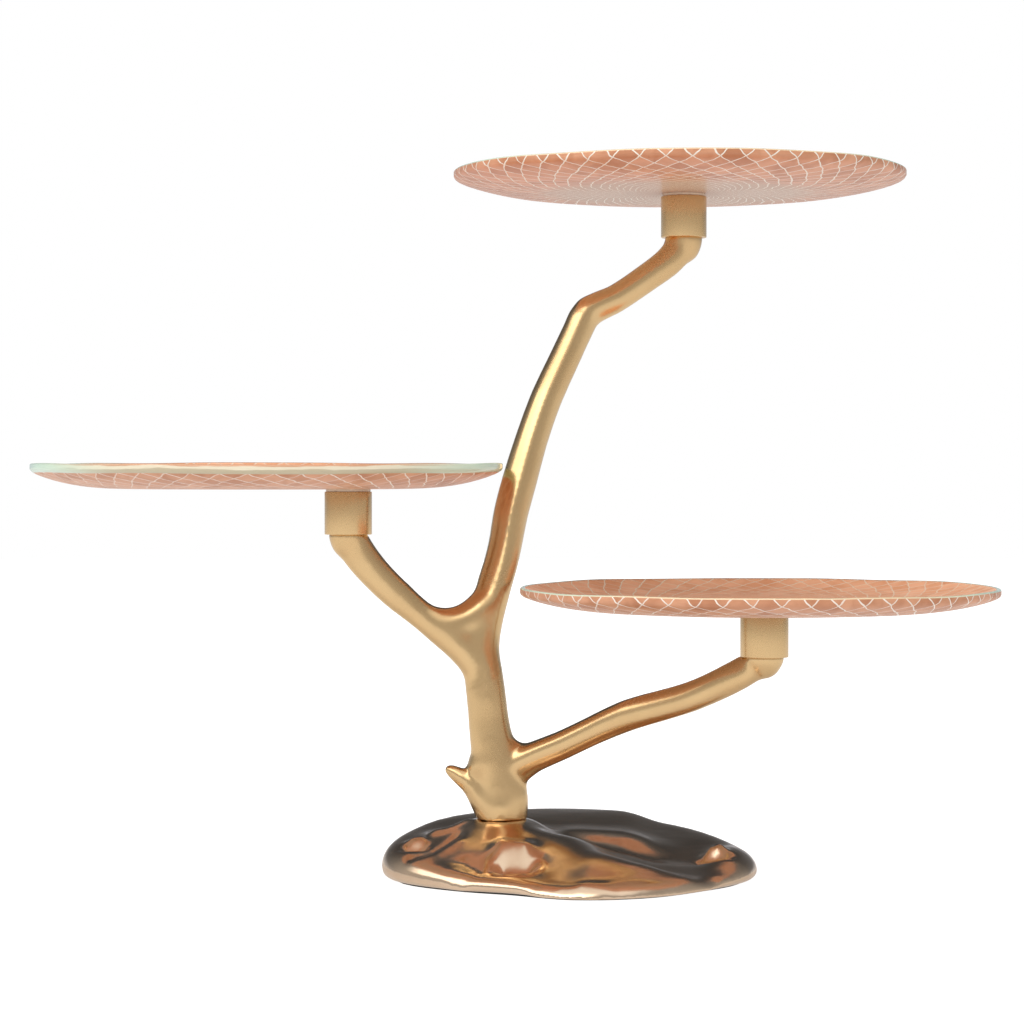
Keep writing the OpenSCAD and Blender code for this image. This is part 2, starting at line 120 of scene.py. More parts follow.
# ---- Base ------------------------------------------------------------------------------------------
# A heavy casting, modelled like a flow of folded metal, plated in antique bronze and polished bright.
# It is full at the back, dips to a rolled lip in front, and flares up into a neck for the stem.


def open_group(name, inputs, outputs):
    """A new node group with its sockets, and the ends that they have inside it."""
    group = bpy.data.node_groups.new(name, "ShaderNodeTree")
    for way, sockets in (("INPUT", inputs), ("OUTPUT", outputs)):
        for socket in sockets:
            kind = "NodeSocketVector" if socket == "Vector" else "NodeSocketFloat"
            group.interface.new_socket(socket, in_out=way, socket_type=kind)
    return group, group.nodes.new("NodeGroupInput").outputs, group.nodes.new("NodeGroupOutput").inputs


def cast_group():
    """The skin of a sand casting: soft waves left by the file, and a fine grain between them."""
    group, given, made = open_group("cast skin", ("Wave Size", "Grain Size"), ("Tone", "Polish", "Height"))
    spot = add(group, "ShaderNodeTexCoord").outputs["Object"]
    wave_scale = maths(group, "DIVIDE", 1, given["Wave Size"])
    grain_scale = maths(group, "DIVIDE", 1, given["Grain Size"])
    cloud_scale = maths(group, "MULTIPLY", wave_scale, 0.37)
    waves, grain, cloud = (
        add(group, "ShaderNodeTexNoise", {"Vector": spot, "Scale": scale, "Detail": detail}).outputs["Fac"]
        for scale, detail in ((wave_scale, 1.5), (grain_scale, 4), (cloud_scale, 3))
    )
    group.links.new(ranged(group, cloud, 0.35, 0.65), made["Tone"])
    group.links.new(
        maths(group, "ADD", maths(group, "MULTIPLY", cloud, 0.6), maths(group, "MULTIPLY", grain, 0.4)),
        made["Polish"],
    )
    group.links.new(maths(group, "MULTIPLY_ADD", grain, 0.04, waves), made["Height"])
    return group


cast_skin = cast_group()


def cast_metal(name, light, dark, wave_size, wave_height, grain_size, rough, rough_spread):
    """Plated cast metal. Its colour runs from light to dark in clouds, and its polish is uneven."""
    material, tree, shader = start_material(name, Metallic=1.0)
    skin = add(tree, "ShaderNodeGroup", node_tree=cast_skin)
    skin.inputs["Wave Size"].default_value = wave_size
    skin.inputs["Grain Size"].default_value = grain_size
    tree.links.new(blend_colours(tree, skin.outputs["Tone"], light, dark), shader.inputs["Base Color"])
    tree.links.new(
        ranged(tree, skin.outputs["Polish"], 0.3, 0.7, rough - rough_spread, rough + rough_spread),
        shader.inputs["Roughness"],
    )
    emboss(tree, shader, skin.outputs["Height"], wave_height, 1.0)
    return material


def fine_copy(node, voxel):
    """A copy of a CAD node in a bmesh, re-cut into small even faces."""
    rough = bmesh.new()
    rough.from_mesh(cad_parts[node].data)
    bmesh.ops.remove_doubles(rough, verts=rough.verts, dist=1e-6)
    mesh = bpy.data.meshes.new(node)
    rough.to_mesh(mesh)
    rough.free()
    blank = bpy.data.objects.new(node, mesh)
    bpy.context.scene.collection.objects.link(blank)
    cut = blank.modifiers.new("cut", "REMESH")
    cut.mode = "VOXEL"
    cut.voxel_size = voxel
    fine = bmesh.new()
    fine.from_object(blank, bpy.context.evaluated_depsgraph_get())
    bpy.data.objects.remove(blank)
    return fine


def melt(bm, passes, kept, puff):
    """Melts the facets away, apart from kept points, and swells the rest by what the melting took."""
    free = [v for v in bm.verts if not kept(v.co)]
    for _ in range(passes):
        bmesh.ops.smooth_vert(bm, verts=free, factor=0.5, use_axis_x=True, use_axis_y=True, use_axis_z=True)
    bm.normal_update()
    for v in free:
        v.co += v.normal * puff


def roll_rim(bm, radius):
    """Rolls the casting's rim over: fully in front, less at its ends, and not at all at the back."""
    foot = [v.co for v in bm.verts if 0.001 < v.co.z < 0.003 and abs(v.normal.z) < 0.5]
    tree = KDTree(len(foot))
    for i, place in enumerate(foot):
        tree.insert((place.x, place.y, 0), i)
    tree.balance()
    for v in bm.verts:
        inward = tree.find((v.co.x, v.co.y, 0))[2]
        share = max(0, 1 - inward / radius)
        front = min(max((0.004 - v.co.y) / 0.020, 0), 1)
        sides = min(max((abs(v.co.x) - 0.070) / 0.020, 0), 0.7)
        lowered = max(front, sides) * radius * (1 - math.sqrt(1 - share * share))
        v.co.z -= lowered * min(v.co.z / 0.007, 1)
    bm.normal_update()


def press(bm, line, rise, width):
    """Raises a soft fold along a line seen from above, or sinks a crease where the rise is negative."""
    points = [Vector(p) for p in line]
    for v in bm.verts:
        if v.normal.z < 0.1:
            continue
        near = width * 3
        for a, b in zip(points, points[1:]):
            share = min(max((v.co.xy - a).dot(b - a) / (b - a).length_squared, 0), 1)
            near = min(near, (v.co.xy - a - (b - a) * share).length)
        v.co.z += rise * math.exp(-(near / width) ** 2)


def make_piece(bm, name, materials, body, slot, *stands_for):
    """Turns a bmesh into a finished, smooth-shaded piece that stands for a CAD node."""
    mesh = bpy.data.meshes.new(name)
    bm.to_mesh(mesh)
    bm.free()
    mesh.shade_smooth()
    for material in materials:
        mesh.materials.append(material)
    piece = bpy.data.objects.new(name, mesh)
    bpy.context.scene.collection.objects.link(piece)
    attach(piece, body)
    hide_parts(*stands_for)


BRONZE_LIGHT = (0.79, 0.61, 0.45, 1)
BRONZE_DARK = (0.70, 0.53, 0.38, 1)
stem_foot = Vector((-0.0365, 0.015, 0.032))   # the middle of the stem's foot, on the neck
NECK_R = 0.0138


def seated(foot_height):
    """A test for the points that keep their place: those by the table, and those under the stem."""
    return lambda p: p.z < foot_height or (p.xy - stem_foot.xy).length < NECK_R


polished_bronze = cast_metal("polished_bronze_plating", BRONZE_LIGHT, BRONZE_DARK, wave_size=0.014,
                             wave_height=0.00025, grain_size=0.0006, rough=0.185, rough_spread=0.05)
bm = fine_copy("base", 0.0013)
melt(bm, 14, seated(0.0012), 0.0001)
# the apron in front of the neck is melted again, in rings, so that it falls in one sweep
apron = Vector((-0.022, -0.034))
for span in (0.036, 0.033, 0.030, 0.027):
    melt(bm, 12, lambda p: (p.xy - apron).length > span or (p.xy - stem_foot.xy).length < 0.017, 0.00005)
roll_rim(bm, 0.0043)
melt(bm, 8, seated(0.0005), 0)
# the folds, each with the points of its line, its rise and its width
folds = (
    (((-0.084, 0.005), (-0.080, 0.005)), 0.0034, 0.0032),                       # knob at the left end
    (((-0.086, -0.003), (-0.079, -0.003)), -0.0044, 0.0032),                    # and the dent before it
    (((-0.073, 0.012), (-0.066, 0.010), (-0.056, 0.012)), 0.0018, 0.0035),      # left lobe
    (((-0.060, 0.000), (-0.070, -0.009), (-0.084, -0.018)), -0.0022, 0.0028),
    (((-0.060, -0.010), (-0.074, -0.022)), 0.0012, 0.004),
    (((0.075, -0.001), (0.080, -0.003)), 0.0052, 0.0032),                       # knob at the right end
    (((0.070, -0.009), (0.083, -0.010)), -0.0036, 0.0034),                      # and the dent before it
    (((-0.036, -0.0255), (-0.024, -0.028)), 0.0044, 0.0066),                    # full front of the neck
    (((-0.035, -0.041), (-0.023, -0.0435)), -0.0038, 0.0060),                   # and the hollow below it
    (((-0.056, -0.030), (-0.048, -0.044), (-0.033, -0.046)), -0.0010, 0.004),   # gully behind the lip
    (((0.006, -0.073), (0.016, -0.075)), 0.0013, 0.005),                        # swell of the lip
)
for line, rise, width in folds:
    press(bm, line, rise, width)
melt(bm, 4, seated(0.0005), 0)
make_piece(bm, "cast_base", [polished_bronze], "stand", "base_bronze", "base")

# ---- Bolt, washers and pin ---------------------------------------------------------------------------
# Plain zinc-plated steel. The bolt goes up through the casting into the stem, over a flat washer and a
# split lock washer, and the pin beside it stops the stem from turning.


def turned_steel(name, colour, rough):
    """Plated steel with the fine rings that a lathe leaves and a little dulling."""
    material, tree, shader = start_material(name, Metallic=1.0)
    place = add(tree, "ShaderNodeTexCoord").outputs["Object"]
    stretched = add(tree, "ShaderNodeMapping", {"Vector": place, "Scale": (1, 1, 14)}).outputs[0]
    rings = add(tree, "ShaderNodeTexNoise", {"Vector": stretched, "Scale": 300, "Detail": 3}).outputs["Fac"]
    dulling = add(tree, "ShaderNodeTexNoise", {"Vector": place, "Scale": 220, "Detail": 4}).outputs["Fac"]
    dark = tuple(0.72 * c for c in colour[:3]) + (1,)
    dulled = blend_colours(tree, ranged(tree, dulling, 0.4, 0.7), colour, dark)
    tree.links.new(dulled, shader.inputs["Base Color"])
    tree.links.new(ranged(tree, dulling, 0.3, 0.7, rough - 0.08, rough + 0.12), shader.inputs["Roughness"])
    emboss(tree, shader, rings, 0.00006, 0.7)
    return material


zinc = turned_steel("zinc_plated_steel", (0.60, 0.61, 0.62, 1), 0.33)
for part in ("trunk_bolt", "lock_washer", "flat_washer", "locating_pin"):
    dress(part, zinc)

# ---- Stem and branches -------------------------------------------------------------------------------
# One casting of a tree's stem with three branches, filed smooth, plated in antique brass and brushed to a
# satin finish. Its foot stands on the base's neck, and each branch ends in a turned spigot for its cup.

BRASS_LIGHT = (0.76, 0.53, 0.275, 1)
BRASS_DARK = (0.72, 0.49, 0.25, 1)
# the seam under each cup, in the middle of its branch's end
tips = {"left": Vector((-0.119, 0.010, 0.1855)), "top": Vector((0.065, 0.076, 0.350)),
        "right": Vector((0.102, -0.022, 0.1215))}


def machined(p):
    """Whether a point is on the stem's flat foot or on a turned branch end."""
    if p.z < stem_foot.z + 0.0006:
        return True
    return any(p.z > tip.z - 0.0006 and (p.xy - tip.xy).length < 0.014 for tip in tips.values())


satin_brass = cast_metal("satin_brass_plating", BRASS_LIGHT, BRASS_DARK, wave_size=0.018, wave_height=0.00015,
                         grain_size=0.0006, rough=0.25, rough_spread=0.04)
bm = fine_copy("trunk", 0.0009)
# the thorn's point is spared at first, and filled out again afterwards, so that it stays a point
thorn = Vector((-0.062, 0.0135, 0.0565))
melt(bm, 32, lambda p: machined(p) or (p - thorn).length < 0.011, 0.0003)
melt(bm, 8, machined, 0.00008)
for v in bm.verts:
    v.co += v.normal * 0.0008 * max(0, 1 - (v.co - thorn).length / 0.009)
# the fork's two limbs run into one another, most in its middle
fork = Vector((-0.062, 0.008, 0.135))
for span in (0.034, 0.031, 0.028, 0.025, 0.022, 0.019):
    melt(bm, 19, lambda p: (p - fork).length > span, 0.00003)
make_piece(bm, "cast_trunk", [satin_brass], "stand", "trunk_brass", "trunk")

# ---- Cups --------------------------------------------------------------------------------------------
# Three turned cups, plated like the stem, each bored for a plate's plug and let on to its spigot from
# above, with a softened arris at the mouth and the foot. The turning leaves rings too fine to feel.

CUP_R = 0.0127
CUP_H = 0.023
SOCKET_R = 0.0090
SOCKET_FLOOR = 0.0092
SPIGOT_R = 0.0096
SPIGOT_H = 0.0052
SCREW_R = 0.0027


def spin_round(bm, centre, steps):
    """Spins a bmesh's edges once round an upright axis, and closes the seam and the poles."""
    bmesh.ops.spin(bm, geom=bm.edges[:], cent=centre, axis=(0, 0, 1), angle=2 * math.pi, steps=steps,
                   use_merge=True)
    bmesh.ops.remove_doubles(bm, verts=bm.verts, dist=1e-6)
    bmesh.ops.recalc_face_normals(bm, faces=bm.faces)


def turned(profile, centre, steps, arris):
    """A turned ring about an upright axis. Its profile is a closed line of radii and heights."""
    bm = bmesh.new()
    corners = [bm.verts.new((centre.x + r, centre.y, centre.z + z)) for r, z in profile]
    for i, corner in enumerate(corners):
        bm.edges.new((corner, corners[(i + 1) % len(corners)]))
    bmesh.ops.bevel(bm, geom=corners, affect="VERTICES", offset=arris, segments=3, profile=0.5, material=-1)
    spin_round(bm, centre, steps)
    return bm


turned_brass = cast_metal("turned_brass", BRASS_LIGHT, BRASS_DARK, wave_size=0.02, wave_height=0.00004,
                          grain_size=0.0004, rough=0.27, rough_spread=0.03)
cup_profile = [(SPIGOT_R, 0), (CUP_R, 0), (CUP_R, CUP_H), (SOCKET_R, CUP_H), (SOCKET_R, SOCKET_FLOOR),
               (SCREW_R, SOCKET_FLOOR), (SCREW_R, SPIGOT_H), (SPIGOT_R, SPIGOT_H)]
for tier, tip in tips.items():
    bm = turned(cup_profile, tip, 128, 0.0004)
    make_piece(bm, f"{tier}_turned_cup", [turned_brass], "stand", "cup_brass", f"{tier}_cup")

# ---- Cup screws --------------------------------------------------------------------------------------
# One button-head screw down the middle of each cup holds it on its branch end.

blued = turned_steel("screw_steel", (0.42, 0.42, 0.44, 1), 0.28)
for tier in tips:
    dress(f"{tier}_cup_screw", blued)

# ---- Silicone rings ----------------------------------------------------------------------------------
# A clear silicone ring lies on each cup's mouth, so that glass never touches metal. Its warm colour is
# painted reflection of the brass and copper around it.

RING_IN = 0.0091
RING_OUT = 0.0120
RING_TOP = 0.0245
silicone, tree, shader = start_material("clear_silicone_ring", IOR=1.41, Coat_Weight=0.3)
place = add(tree, "ShaderNodeTexCoord").outputs["Object"]
bloom = add(tree, "ShaderNodeTexNoise", {"Vector": place, "Scale": 500, "Detail": 3}).outputs["Fac"]
tree.links.new(ranged(tree, bloom, 0.35, 0.7, 0.22, 0.42), shader.inputs["Roughness"])
# painted reflection: the warm colour stands for the brass and copper seen in the clear ring
brass_reflection_tint = blend_colours(tree, bloom, (0.70, 0.56, 0.43, 1), (0.82, 0.68, 0.54, 1))
tree.links.new(brass_reflection_tint, shader.inputs["Base Color"])
ring_profile = [(RING_IN, CUP_H), (RING_OUT, CUP_H), (RING_OUT, RING_TOP), (RING_IN, RING_TOP)]
for tier, tip in tips.items():
    bm = turned(ring_profile, tip, 96, 0.0003)
    make_piece(bm, f"{tier}_silicone_ring", [silicone], f"{tier}_seat", "clear_silicone", f"{tier}_ring")

# ---- Plugs -------------------------------------------------------------------------------------------
# A turned brass plug is bonded under the middle of each plate and drops into the cup. Its foot is
# chamfered, and stays clear of the screw's head.

PLUG_R = 0.00895
PLUG_FOOT = 0.01255
PLUG_CHAMFER = 0.001
plug_profile = [(0.0, PLUG_FOOT), (PLUG_R - PLUG_CHAMFER, PLUG_FOOT), (PLUG_R, PLUG_FOOT + PLUG_CHAMFER),
                (PLUG_R, RING_TOP), (0.0, RING_TOP)]
for tier, tip in tips.items():
    bm = bmesh.new()
    line = [bm.verts.new((tip.x + r, tip.y, tip.z + z)) for r, z in plug_profile]
    for a, b in zip(line, line[1:]):
        bm.edges.new((a, b))
    spin_round(bm, tip, 96)
    make_piece(bm, f"{tier}_turned_plug", [turned_brass], f"{tier}_tray", "plug_brass", f"{tier}_plug")

# ---- Plates ------------------------------------------------------------------------------------------
# Round glass dishes, slumped in a mould. They are fired with copper enamel, over a lattice of fine cream
# lines that spiral out both ways from the middle, and the hand-ground rim is left clear.

PLATE_R = 0.126
FLAT_R = 0.065
GLASS = 0.005
WANDER = 0.001


def wander(angle, phase):
    """How far a hand-cut rim strays at an angle, from -1 to 1."""
    turn = math.radians(phase)
    return (0.5 * math.cos(3 * angle + turn) + 0.3 * math.cos(7 * angle + 2 * turn + math.radians(50))
            + 0.2 * math.cos(11 * angle - turn))


def lattice_group():
    """Two crossing families of spirals about the vector's origin, and the cells between them."""
    group, given, made = open_group("spiral lattice", ("Vector", "Reach", "Lines", "Crossed"),
                                    ("Line", "Cell", "Height"))
    wobble = add(group, "ShaderNodeTexNoise", {"Vector": given["Vector"], "Scale": 100, "Detail": 2})
    shaken = add(group, "ShaderNodeVectorMath", {0: wobble.outputs["Color"], 1: (0.5, 0.5, 0.5)},
                 operation="SUBTRACT").outputs[0]
    scaled = add(group, "ShaderNodeVectorMath", {0: shaken, "Scale": 0.0038}, operation="SCALE").outputs[0]
    moved = add(group, "ShaderNodeVectorMath", {0: given["Vector"], 1: scaled}, operation="ADD").outputs[0]
    parts = add(group, "ShaderNodeSeparateXYZ", {0: moved}).outputs
    angle = maths(group, "ARCTAN2", parts["Y"], parts["X"])
    out = maths(group, "ADD", given["Reach"], add(group, "ShaderNodeSeparateXYZ", {0: scaled}).outputs["Z"])
    # a line's angle follows the logarithm of its reach, so that the cells keep their shape
    share_out = maths(group, "DIVIDE", maths(group, "MAXIMUM", out, 0.002), PLATE_R)
    swirl = maths(group, "LOGARITHM", share_out, math.e)
    per_turn = maths(group, "DIVIDE", given["Lines"], 2 * math.pi)
    # the width of a line as a share of the gap between two lines, which closes up towards the middle
    share = ranged(group, out, 0.012, 0.118, 0.115, 0.043, smooth=False)
    lines = []
    cells = []
    for sign in (1, -1):
        sweep = maths(group, "MULTIPLY_ADD", swirl, sign, angle)
        count = maths(group, "MULTIPLY", sweep, per_turn)
        whole = maths(group, "FLOORED_MODULO", count, given["Lines"])
        cells.append(maths(group, "FLOOR", whole))
        off = maths(group, "ABSOLUTE", maths(group, "SUBTRACT", maths(group, "FRACT", whole), 0.5))
        near = maths(group, "SUBTRACT", 0.5, off)
        beside = ranged(group, near, maths(group, "MULTIPLY", share, 0.6), share)
        lines.append(maths(group, "SUBTRACT", 1, beside))
    line = maths(group, "MAXIMUM", lines[0], maths(group, "MULTIPLY", lines[1], given["Crossed"]))
    crossing = maths(group, "MULTIPLY", lines[0], lines[1])
    cell_at = add(group, "ShaderNodeCombineXYZ", {0: cells[0], 1: cells[1]}).outputs[0]
    chance = add(group, "ShaderNodeTexWhiteNoise", {"Vector": cell_at}, noise_dimensions="2D")
    group.links.new(line, made["Line"])
    group.links.new(chance.outputs["Value"], made["Cell"])
    group.links.new(maths(group, "ADD", line, maths(group, "MULTIPLY", crossing, 0.6)), made["Height"])
    return group


spiral_lattice = lattice_group()


def centred_on(tree, centre, height):
    """Object coordinates moved so that they start from a plate's middle, at a height."""
    place = add(tree, "ShaderNodeTexCoord").outputs["Object"]
    start = (-centre.x, -centre.y, -height)
    return add(tree, "ShaderNodeMapping", {"Vector": place, "Location": start}).outputs[0]


def enamel(name, centre, gloss, gloss_blur, crossed, drawn_from, coppers_and_haze, line):
    """Copper enamel fired on glass, under a gloss. The lattice's lines are drawn in it.

    The three colours given are its deepest cells, its palest cells and its flat middle; underneath, that
    middle's pale grey is painted haze, standing for the reflection on the gloss. One way round, the lines are
    drawn only as strongly as crossed says, and all of them fade out from drawn_from inwards.
    """
    material, tree, shader = start_material(name, Metallic=0.1, Coat_Weight=gloss, Coat_Roughness=gloss_blur,
                                            Coat_IOR=1.5, Roughness=0.5)
    deep, pale, middle = coppers_and_haze
    place = add(tree, "ShaderNodeTexCoord").outputs["Object"]
    reach = add(tree, "ShaderNodeAttribute", attribute_name="reach").outputs["Fac"]
    lattice = add(tree, "ShaderNodeGroup", node_tree=spiral_lattice)
    tree.links.new(centred_on(tree, centre, 0), lattice.inputs["Vector"])
    tree.links.new(reach, lattice.inputs["Reach"])
    lattice.inputs["Lines"].default_value = 56
    lattice.inputs["Crossed"].default_value = crossed
    smears = add(tree, "ShaderNodeTexNoise", {"Vector": place, "Scale": 60, "Detail": 4, "Distortion": 1.2})
    shade = maths(tree, "MULTIPLY_ADD", lattice.outputs["Cell"], 0.32,
                  maths(tree, "MULTIPLY", smears.outputs["Fac"], 0.85))
    copper = blend_colours(tree, ranged(tree, shade, 0.3, 0.85), deep, pale)
    # the flat middle takes the middle colour; on the underside this is painted haze, a pale grey for the
    # gloss's reflection
    ground = blend_colours(tree, ranged(tree, reach, 0.06, 0.09), middle, copper)
    fading = ranged(tree, reach, drawn_from - 0.035, drawn_from, 0.12)
    drawn = maths(tree, "MULTIPLY", lattice.outputs["Line"], fading)
    tree.links.new(blend_colours(tree, drawn, ground, line), shader.inputs["Base Color"])
    emboss(tree, shader, lattice.outputs["Height"], 0.0002, 0.6)
    return material


def ground_edge(name, centre, edge_bands_tint_reflection):
    """The glass rim, banded in height with its own tints and with painted reflection of the enamel behind it
    and of the room, and sea green where it is seen end-on.

    Each band is the height in the glass at which it starts, from 0 to 1, and its colour.
    """
    material, tree, shader = start_material(name, Roughness=0.2, Coat_Weight=0.4, Coat_Roughness=0.05,
                                            IOR=1.5)
    place = add(tree, "ShaderNodeTexCoord").outputs["Object"]
    parts = add(tree, "ShaderNodeSeparateXYZ", {0: centred_on(tree, centre, centre.z)}).outputs
    flattened = add(tree, "ShaderNodeMapping", {"Vector": place, "Scale": (1, 1, 6)}).outputs[0]
    streaks = add(tree, "ShaderNodeTexNoise", {"Vector": flattened, "Scale": 45, "Detail": 3}).outputs["Fac"]
    depth = add(tree, "ShaderNodeAttribute", attribute_name="depth").outputs["Fac"]
    strayed = maths(tree, "MULTIPLY_ADD", maths(tree, "SUBTRACT", streaks, 0.5), 0.5, depth)
    # the bands are partly the glass's own tint and partly painted reflection of the enamel and the room
    colour = edge_bands_tint_reflection[0][1]
    for start, tint in edge_bands_tint_reflection[1:]:
        colour = blend_colours(tree, ranged(tree, strayed, start - 0.06, start + 0.06), colour, tint)
    endward = ranged(tree, maths(tree, "ABSOLUTE", parts["X"]), 0.060, 0.122)
    green = maths(tree, "MULTIPLY_ADD", endward, 0.9, maths(tree, "MULTIPLY", streaks, 0.15), clamp=True)
    tree.links.new(blend_colours(tree, green, colour, (0.66, 0.86, 0.70, 1)), shader.inputs["Base Color"])
    emboss(tree, shader, streaks, 0.0006, 0.5)
    return material


# the section of a plate outside its flat: the share of the way to the rim, and the height in the glass
under = [(s, 0.0) for s in (0.0, 0.08, 0.16, 0.24, 0.32, 0.4, 0.48, 0.56, 0.64, 0.72, 0.8, 0.87)]
rim = [(0.93, 0.005), (0.97, 0.04), (0.99, 0.12), (1.0, 0.28), (1.0, 0.4), (1.0, 0.5), (1.0, 0.6),
       (1.0, 0.72), (0.997, 0.8), (0.991, 0.88), (0.98, 0.95), (0.96, 1.0)]
over = [(s, 1.0) for s in (0.9, 0.83, 0.75, 0.67, 0.59, 0.51, 0.43, 0.34, 0.25, 0.16, 0.08, 0.02)]


def glass_dish(centre, rise, lean, phase, bare_from):
    """A slumped dish whose rim rises and leans. Its faces are told apart as under, over and bare edge.

    Its reach is the way along the glass from its middle, and its depth is the height in the glass.
    """
    bm = bmesh.new()
    flat = [0.0, 0.02, 0.04]
    outline = [(r, 0.0, 0.0) for r in flat]
    outline += [(FLAT_R + (PLATE_R - FLAT_R) * s, rise * s ** 3 + h * GLASS, h)
                for s, h in under + rim + over]
    outline += [(r, GLASS, 1.0) for r in reversed(flat)]
    reach = bm.verts.layers.float.new("reach")
    depth = bm.verts.layers.float.new("depth")
    line = [bm.verts.new((r, 0, z)) for r, z, _ in outline]
    for v, (_, _, h) in zip(line, outline):
        v[depth] = h
    for a, b in zip(line, line[1:]):
        bm.edges.new((a, b))
    # underneath, the reach runs out to the rim, and over the top it runs out from the middle again
    brink = next(i for i, (_, _, h) in enumerate(outline) if h >= 1)
    for way in (line[:brink], line[:brink - 1:-1]):
        for a, b in zip(way, way[1:]):
            b[reach] = a[reach] + (b.co - a.co).length
    spin_round(bm, (0, 0, 0), 240)
    for face in bm.faces:
        height = sum(v[depth] for v in face.verts) / len(face.verts)
        if height > 0.99:
            face.material_index = 1
        elif height > bare_from and face.calc_center_median().xy.length > PLATE_R - 0.003:
            face.material_index = 2
    for v in bm.verts:
        angle = math.atan2(v.co.y, v.co.x)
        s = min(max((v.co.xy.length - FLAT_R) / (PLATE_R - FLAT_R), 0), 1)
        grow = WANDER * wander(angle, phase) * s * s
        lift = (lean * math.sin(angle) - 0.5 * WANDER * wander(angle + math.radians(70), phase)) * s * s
        v.co += Vector((grow * math.cos(angle), grow * math.sin(angle), lift)) + centre
    return bm


# deep and pale copper, and a pale grey middle that is painted haze: the reflection on the underside's gloss
UNDER_COPPERS_AND_HAZE = ((0.53, 0.215, 0.105, 1), (0.75, 0.37, 0.215, 1), (0.56, 0.37, 0.26, 1))
OVER_COPPERS = ((0.82, 0.37, 0.19, 1), (0.99, 0.53, 0.32, 1), (0.90, 0.44, 0.25, 1))
OVER_LINE = (0.93, 0.76, 0.60, 1)
# a cream line, and above it a dark band that is painted reflection of the dark room in the rim's upper edge
cream_line_dark_reflection = [(0.0, (0.84, 0.64, 0.40, 1)), (0.91, (0.26, 0.18, 0.10, 1))]
# partly the glass's own tint and partly painted light: olive-beige low, a pale cream painted highlight, and
# copper above, a painted reflection of the enamel
wide_tint_and_reflection_bands = [(0.0, (0.58, 0.47, 0.31, 1)), (0.36, (0.88, 0.76, 0.57, 1)), (0.66, (0.66, 0.30, 0.16, 1))]
# for each plate: how far its rim turns up, how far the rim leans, the phase of its wander, the gloss of its
# underside, how strongly its lines cross and how far out they start underneath, the lines' colour, the
# height in the glass at which its edge turns from enamel to bare glass, and the edge's bands of tint and
# painted reflection
plates = {"left": (0.0095, 0.0008, 20, 0.15, 0.6, 0.11, (0.97, 0.83, 0.72, 1), 0.0, wide_tint_and_reflection_bands),
          "top": (0.008, 0.0, 140, 0.3, 1.0, 0.04, (0.95, 0.88, 0.78, 1), 0.75, cream_line_dark_reflection),
          "right": (0.008, 0.0008, 260, 0.15, 0.8, 0.10, (0.98, 0.87, 0.77, 1), 0.75, cream_line_dark_reflection)}
for tier, (rise, lean, phase, gloss, crossed, drawn_from, under_line, bare_from, edge_bands_tint_reflection) in plates.items():
    low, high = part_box(f"{tier}_plate")
    centre = Vector(((low.x + high.x) / 2, tips[tier].y, low.z))
    bm = glass_dish(centre, rise, lean, phase, bare_from)
    finishes = [
        enamel(f"{tier}_copper_enamel", centre, gloss=gloss, gloss_blur=0.2, crossed=crossed,
               drawn_from=drawn_from, coppers_and_haze=UNDER_COPPERS_AND_HAZE, line=under_line),
        enamel(f"{tier}_glazed_enamel", centre, gloss=0.12, gloss_blur=0.05, crossed=0.8,
               drawn_from=0.08, coppers_and_haze=OVER_COPPERS, line=OVER_LINE),
        ground_edge(f"{tier}_ground_edge", centre, edge_bands_tint_reflection),
    ]
    make_piece(bm, f"{tier}_glass_plate", finishes, f"{tier}_tray", "plate_glass", f"{tier}_plate")

# ---- Studio ------------------------------------------------------------------------------------------
# A white sweep of paper in a room that is bright overhead, dim in front and dark behind, apart from a low
# glow there. A wide soft box stands up on the left, a weak strip on the right and a soft light above.

scene = bpy.context.scene
scene.view_settings.view_transform = "Standard"

floor_mesh = bpy.data.meshes.new("floor")
bm = bmesh.new()
bmesh.ops.create_grid(bm, x_segments=2, y_segments=2, size=6)
bm.to_mesh(floor_mesh)
bm.free()
floor = bpy.data.objects.new("floor", floor_mesh)
scene.collection.objects.link(floor)
paper = bpy.data.materials.new("white_paper")
paper.use_nodes = True
paper.cycles.emission_sampling = "NONE"
tree = paper.node_tree
tree.nodes.clear()
matt = add(tree, "ShaderNodeBsdfDiffuse", {"Color": (0.5, 0.5, 0.5, 1)})
looked_at = add(tree, "ShaderNodeLightPath").outputs["Is Camera Ray"]
glow = add(tree, "ShaderNodeEmission", {"Color": (1, 1, 1, 1),
                                        "Strength": maths(tree, "MULTIPLY_ADD", looked_at, 0.55, 0.42)})
both = add(tree, "ShaderNodeAddShader", {0: matt.outputs[0], 1: glow.outputs[0]})
add(tree, "ShaderNodeOutputMaterial", {"Surface": both.outputs[0]})
floor_mesh.materials.append(paper)

world = bpy.data.worlds.new("room")
scene.world = world
world.use_nodes = True
tree = world.node_tree
tree.nodes.clear()
way = add(tree, "ShaderNodeSeparateXYZ", {0: add(tree, "ShaderNodeTexCoord").outputs["Generated"]}).outputs
front = ranged(tree, way["Y"], 0.85, 0.05)
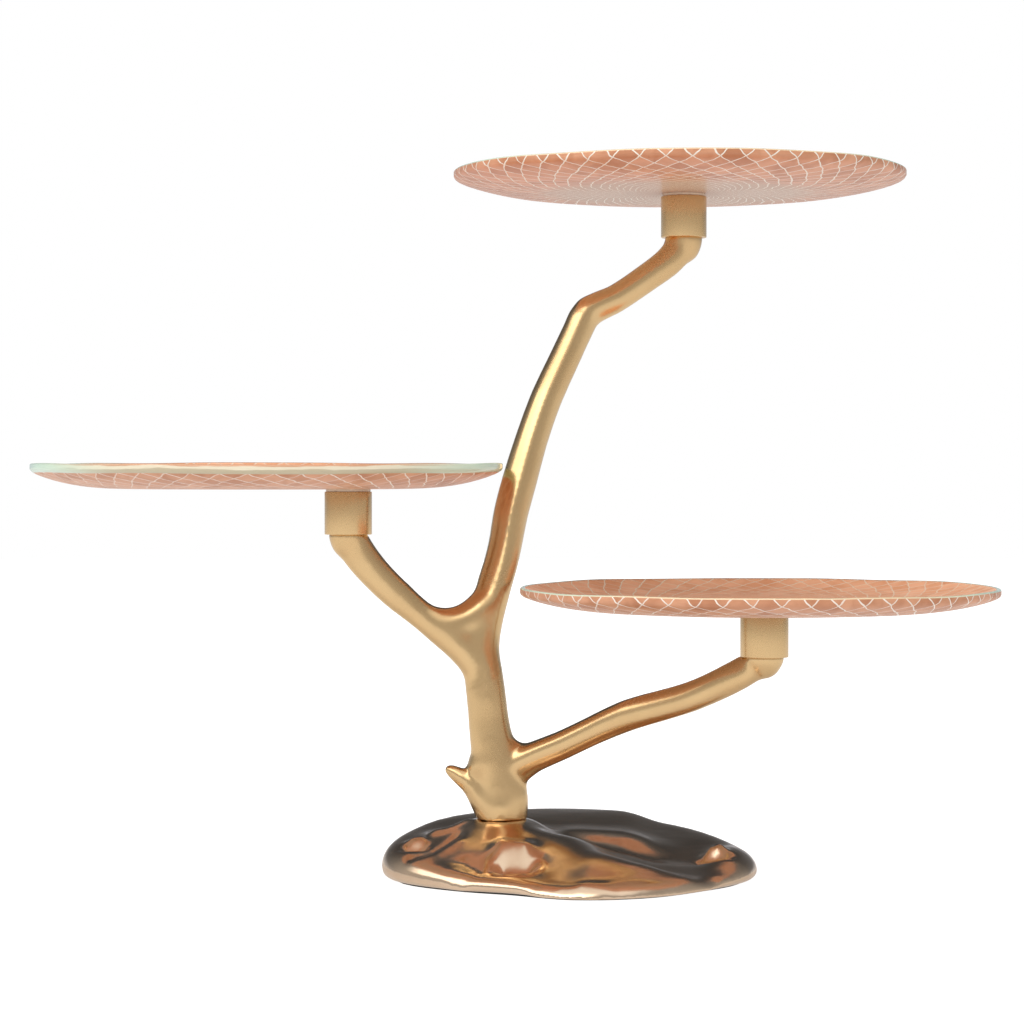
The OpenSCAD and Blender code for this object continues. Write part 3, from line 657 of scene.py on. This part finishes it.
# how near a direction is to the middle of the bright ceiling, a little in front of straight up
ceiling = maths(tree, "MULTIPLY_ADD", way["Y"], -0.45, maths(tree, "MULTIPLY", way["Z"], 0.89))
overhead = ranged(tree, ceiling, 0.70, 0.93)
walls = maths(tree, "MULTIPLY_ADD", front, 0.34, ranged(tree, way["Z"], 0.10, 0.6, 0.19, 0.06))
behind = ranged(tree, way["Y"], 0.35, 0.80)
low_glow = maths(tree, "MULTIPLY", behind, ranged(tree, way["Z"], 0.05, 0.20, 0.42, 0))
level = maths(tree, "ADD", walls, low_glow)
upper = maths(tree, "MULTIPLY_ADD", overhead, maths(tree, "SUBTRACT", 1.1, level), level)
bright = maths(tree, "MAXIMUM", upper, ranged(tree, way["Z"], -0.002, -0.01, 0, 0.6))
tint = blend_colours(tree, maths(tree, "MAXIMUM", front, overhead), (0.84, 0.90, 1, 1), (1, 0.985, 0.96, 1))
around = add(tree, "ShaderNodeBackground", {"Strength": bright, "Color": tint})
backdrop = add(tree, "ShaderNodeBackground", {"Color": (1, 1, 1, 1), "Strength": 1.0})
seen = add(tree, "ShaderNodeLightPath").outputs["Is Camera Ray"]
room = add(tree, "ShaderNodeMixShader", {0: seen, 1: around.outputs[0], 2: backdrop.outputs[0]})
add(tree, "ShaderNodeOutputWorld", {"Surface": room.outputs[0]})


def soft_box(name, at, aim, width, height, watts, colour, mirrored=True):
    """A soft box at a point, turned to face another. One that isn't mirrored stays out of reflections."""
    light = bpy.data.lights.new(name, "AREA")
    light.shape = "RECTANGLE"
    light.size = width
    light.size_y = height
    light.energy = watts
    light.color = colour
    lamp = bpy.data.objects.new(name, light)
    lamp.location = at
    lamp.rotation_euler = (Vector(aim) - Vector(at)).to_track_quat("-Z", "Y").to_euler()
    lamp.visible_glossy = mirrored
    scene.collection.objects.link(lamp)


soft_box("left_box", (-1.35, -1.25, 1.6), (0, 0, 0.2), 3.8, 1.2, 27, (1, 0.98, 0.94))
soft_box("right_strip", (1.75, -1.05, 0.3), (0, 0, 0.2), 1.3, 0.7, 1.6, (1, 0.95, 0.92), mirrored=False)
soft_box("top_box", (0.1, -0.3, 2.3), (0, 0, 0), 1.6, 1.6, 19, (1, 1, 1), mirrored=False)

eye = bpy.data.cameras.new("eye")
eye.lens = 105
eye.sensor_width = 36
camera = bpy.data.objects.new("eye", eye)
camera.location = (-0.031, -1.595, 0.218)   # level with the middle tier
camera.rotation_euler = (math.radians(90 - 0.729), 0, 0)
scene.collection.objects.link(camera)
scene.camera = camera
